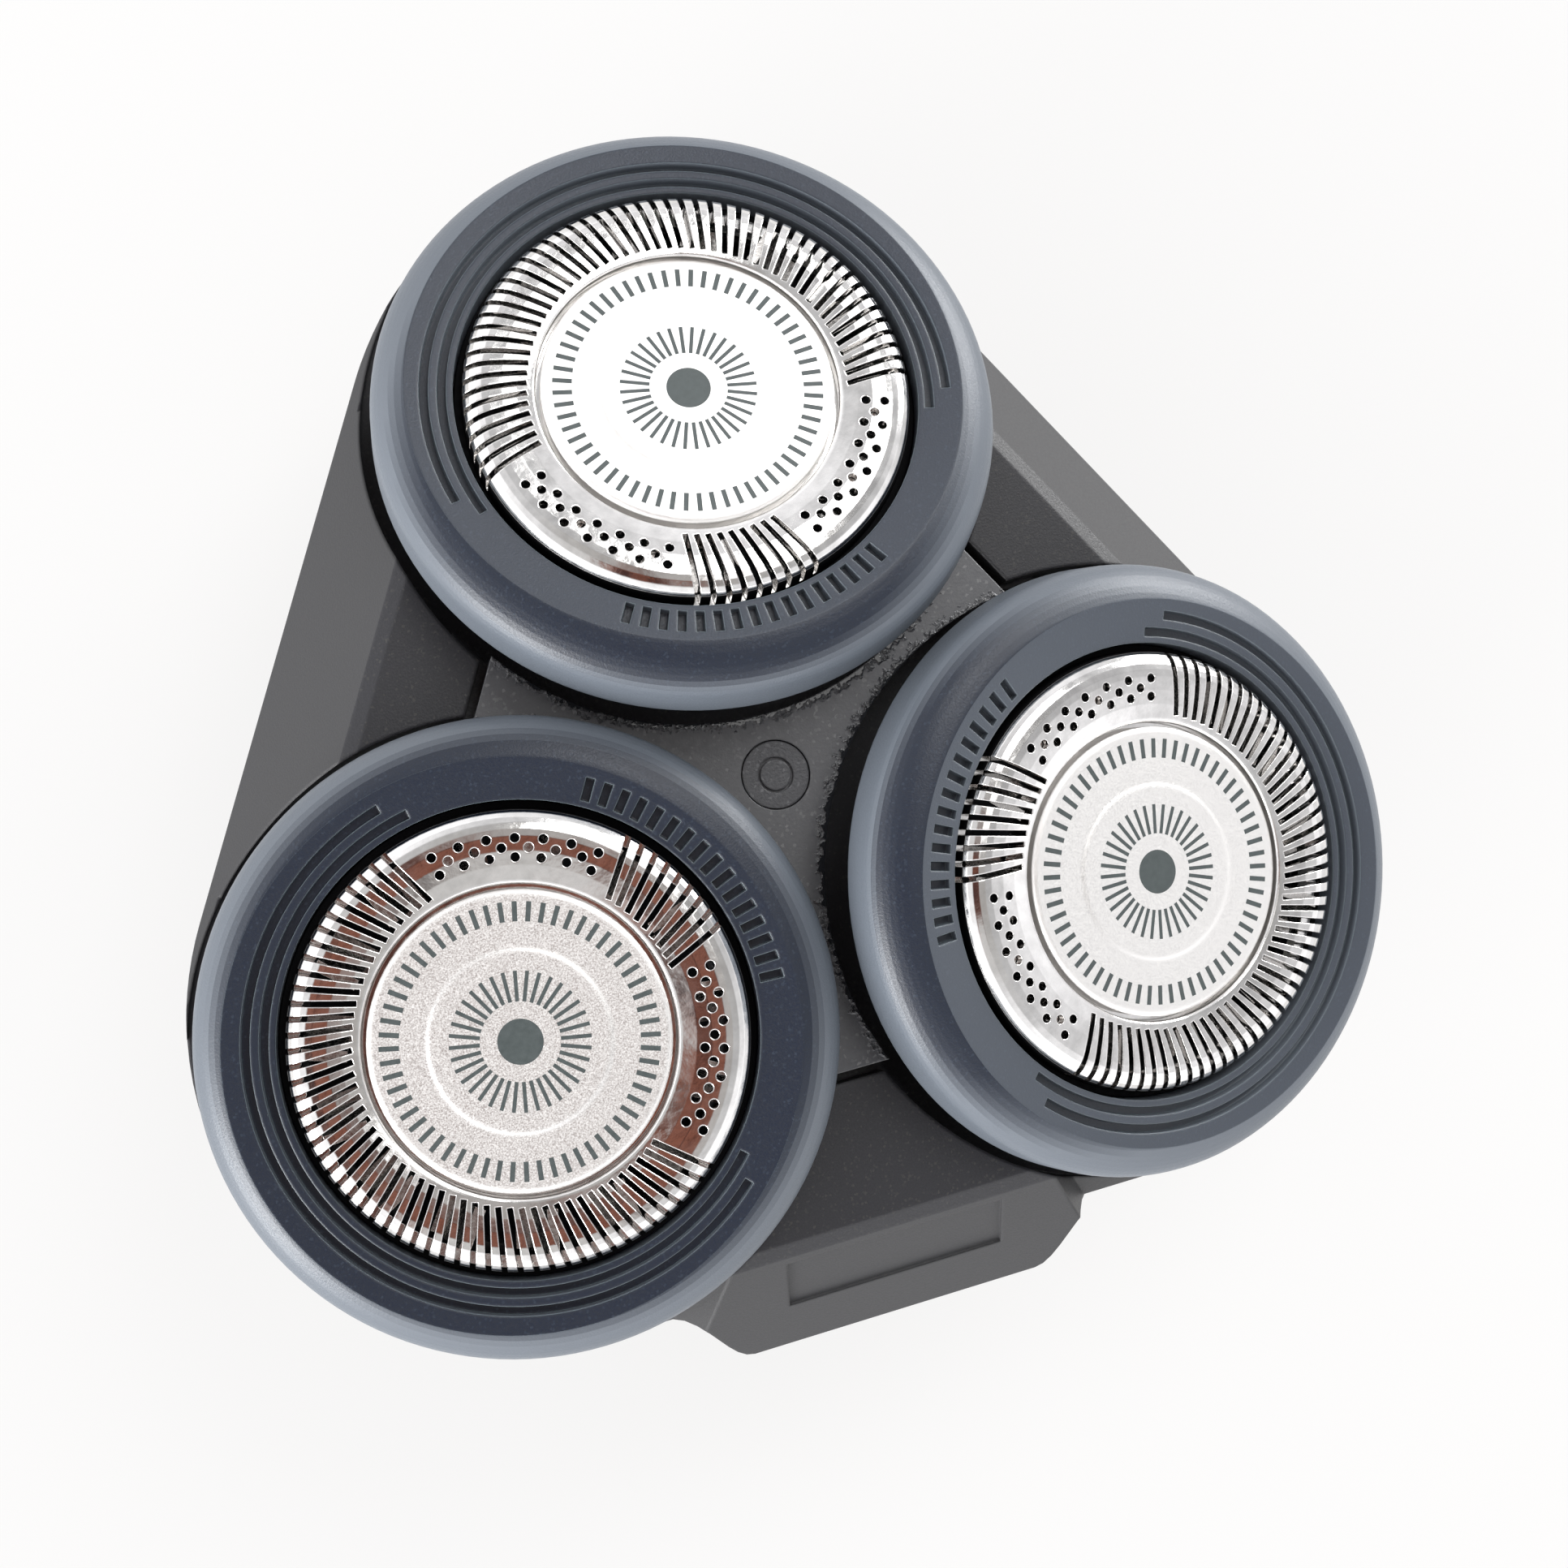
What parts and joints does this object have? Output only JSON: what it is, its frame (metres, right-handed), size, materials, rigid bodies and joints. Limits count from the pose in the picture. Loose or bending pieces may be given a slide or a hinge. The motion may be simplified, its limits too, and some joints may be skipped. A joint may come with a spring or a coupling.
{
  "type": "rotary shaver head",
  "caption": "Rotary shaving unit with tilting round heads, slotted steel guards and spinning cutters on a hinged frame over a hair chamber and gearbox.",
  "frame": {"origin": "centre of the neck collar's lower face", "axes": "+Z along the drive axis towards the shaving side, +Y towards head 1 and the hinge, -Y towards the thumb pad and release button"},
  "size_m": [0.0692, 0.0682, 0.0321],
  "materials": {
    "ring_plastic": "fine-textured blue-grey moulding",
    "frame_plastic": "charcoal moulding with a fine sparkle",
    "star_plastic": "dark semi-gloss moulding",
    "guard_steel": "polished steel",
    "insert_steel": "satin silver disc",
    "cutter_steel": "ground steel",
    "hub_plastic": "black moulding",
    "inner_plastic": "dark moulding",
    "gear_plastic": "natural acetal",
    "spring_steel": "bright wire",
    "button_plastic": "grey moulding",
    "housing_plastic": "dark moulding",
    "screw_steel": "plated steel"
  },
  "bodies": {
    "base": {"gear_housing": "housing_plastic", "housing_screws": "screw_steel", "hair_chamber": "frame_plastic", "hinge_pin": "spring_steel", "button_spring": "spring_steel"},
    "button": {"release_button": "button_plastic"},
    "frame": {"head_frame": "frame_plastic", "star_plate": "star_plastic", "centre_pin": "star_plastic"},
    "pinion": {"drive_pinion": "gear_plastic"},
    "head_1": {"skin_ring_1": "ring_plastic", "retaining_ring_1": "inner_plastic"},
    "cap_1": {"guard_1": "guard_steel", "guard_insert_1": "insert_steel"},
    "blades_1": {"cutter_1": "cutter_steel", "cutter_hub_1": "hub_plastic"},
    "gear_1": {"drive_gear_1": "gear_plastic", "spindle_spring_1": "spring_steel"},
    "spindle_1": {"spindle_1": "gear_plastic"},
    "head_2": {"skin_ring_2": "ring_plastic", "retaining_ring_2": "inner_plastic"},
    "cap_2": {"guard_2": "guard_steel", "guard_insert_2": "insert_steel"},
    "blades_2": {"cutter_2": "cutter_steel", "cutter_hub_2": "hub_plastic"},
    "gear_2": {"drive_gear_2": "gear_plastic", "spindle_spring_2": "spring_steel"},
    "spindle_2": {"spindle_2": "gear_plastic"},
    "head_3": {"skin_ring_3": "ring_plastic", "retaining_ring_3": "inner_plastic"},
    "cap_3": {"guard_3": "guard_steel", "guard_insert_3": "insert_steel"},
    "blades_3": {"cutter_3": "cutter_steel", "cutter_hub_3": "hub_plastic"},
    "gear_3": {"drive_gear_3": "gear_plastic", "spindle_spring_3": "spring_steel"},
    "spindle_3": {"spindle_3": "gear_plastic"}
  },
  "joints": [
    {"name": "head_open", "type": "hinge", "parent": "base", "child": "frame", "pos_m": [0, 0.0355, 0.016], "axis": [-1, 0, 0], "range_deg": [0, 90]},
    {"name": "release_press", "type": "slide", "parent": "base", "child": "button", "axis": [0, 1, 0], "range_m": [0, 0.0012], "stiffness_N_per_m": 800, "springref_m": -0.0006, "deforming": ["button_spring"]},
    {"name": "pinion_spin", "type": "hinge", "parent": "base", "child": "pinion", "pos_m": [0, 0, 0.0066], "axis": [0, 0, 1], "continuous": true},
    {"name": "tilt_1", "type": "hinge", "parent": "frame", "child": "head_1", "pos_m": [0, 0.0198, 0.0235], "axis": [-1, 0, 0], "range_deg": [-16, 2]},
    {"name": "float_1", "type": "slide", "parent": "head_1", "child": "cap_1", "axis": [0, 0.2756, 0.9613], "range_m": [-0.0006, 0], "stiffness_N_per_m": 500, "springref_m": 0.0004},
    {"name": "cutter_spin_1", "type": "hinge", "parent": "cap_1", "child": "blades_1", "pos_m": [0, 0.02049, 0.0259], "axis": [0, 0.2756, 0.9613], "continuous": true},
    {"name": "gear_spin_1", "type": "hinge", "parent": "base", "child": "gear_1", "pos_m": [0, 0.0198, 0.0066], "axis": [0, 0, 1], "continuous": true},
    {"name": "spindle_slide_1", "type": "slide", "parent": "gear_1", "child": "spindle_1", "axis": [0, 0, 1], "range_m": [-0.0012, 0], "stiffness_N_per_m": 500, "springref_m": 0.0006, "deforming": ["spindle_spring_1"]},
    {"name": "tilt_2", "type": "hinge", "parent": "frame", "child": "head_2", "pos_m": [-0.01715, -0.0099, 0.0235], "axis": [0.5, -0.866, 0], "range_deg": [-7, 11]},
    {"name": "float_2", "type": "slide", "parent": "head_2", "child": "cap_2", "axis": [-0.1055, -0.0609, 0.9925], "range_m": [-0.0006, 0], "stiffness_N_per_m": 500, "springref_m": 0.0004},
    {"name": "cutter_spin_2", "type": "hinge", "parent": "cap_2", "child": "blades_2", "pos_m": [-0.01741, -0.01005, 0.02598], "axis": [-0.1055, -0.0609, 0.9925], "continuous": true},
    {"name": "gear_spin_2", "type": "hinge", "parent": "base", "child": "gear_2", "pos_m": [-0.01715, -0.0099, 0.0066], "axis": [0, 0, 1], "continuous": true},
    {"name": "spindle_slide_2", "type": "slide", "parent": "gear_2", "child": "spindle_2", "axis": [0, 0, 1], "range_m": [-0.0012, 0], "stiffness_N_per_m": 500, "springref_m": 0.0006, "deforming": ["spindle_spring_2"]},
    {"name": "tilt_3", "type": "hinge", "parent": "frame", "child": "head_3", "pos_m": [0.01715, -0.0099, 0.0235], "axis": [0.5, 0.866, 0], "range_deg": [-16, 2]},
    {"name": "float_3", "type": "slide", "parent": "head_3", "child": "cap_3", "axis": [0.2387, -0.1378, 0.9613], "range_m": [-0.0006, 0], "stiffness_N_per_m": 500, "springref_m": 0.0004},
    {"name": "cutter_spin_3", "type": "hinge", "parent": "cap_3", "child": "blades_3", "pos_m": [0.01775, -0.01025, 0.0259], "axis": [0.2387, -0.1378, 0.9613], "continuous": true},
    {"name": "gear_spin_3", "type": "hinge", "parent": "base", "child": "gear_3", "pos_m": [0.01715, -0.0099, 0.0066], "axis": [0, 0, 1], "continuous": true},
    {"name": "spindle_slide_3", "type": "slide", "parent": "gear_3", "child": "spindle_3", "axis": [0, 0, 1], "range_m": [-0.0012, 0], "stiffness_N_per_m": 500, "springref_m": 0.0006, "deforming": ["spindle_spring_3"]}
  ],
  "couplings": [
    {"joint": "gear_spin_1", "follows": "pinion_spin", "ratio": -0.93103},
    {"joint": "cutter_spin_1", "follows": "pinion_spin", "ratio": -0.93103},
    {"joint": "gear_spin_2", "follows": "pinion_spin", "ratio": -0.93103},
    {"joint": "cutter_spin_2", "follows": "pinion_spin", "ratio": -0.93103},
    {"joint": "gear_spin_3", "follows": "pinion_spin", "ratio": -0.93103},
    {"joint": "cutter_spin_3", "follows": "pinion_spin", "ratio": -0.93103}
  ]
}
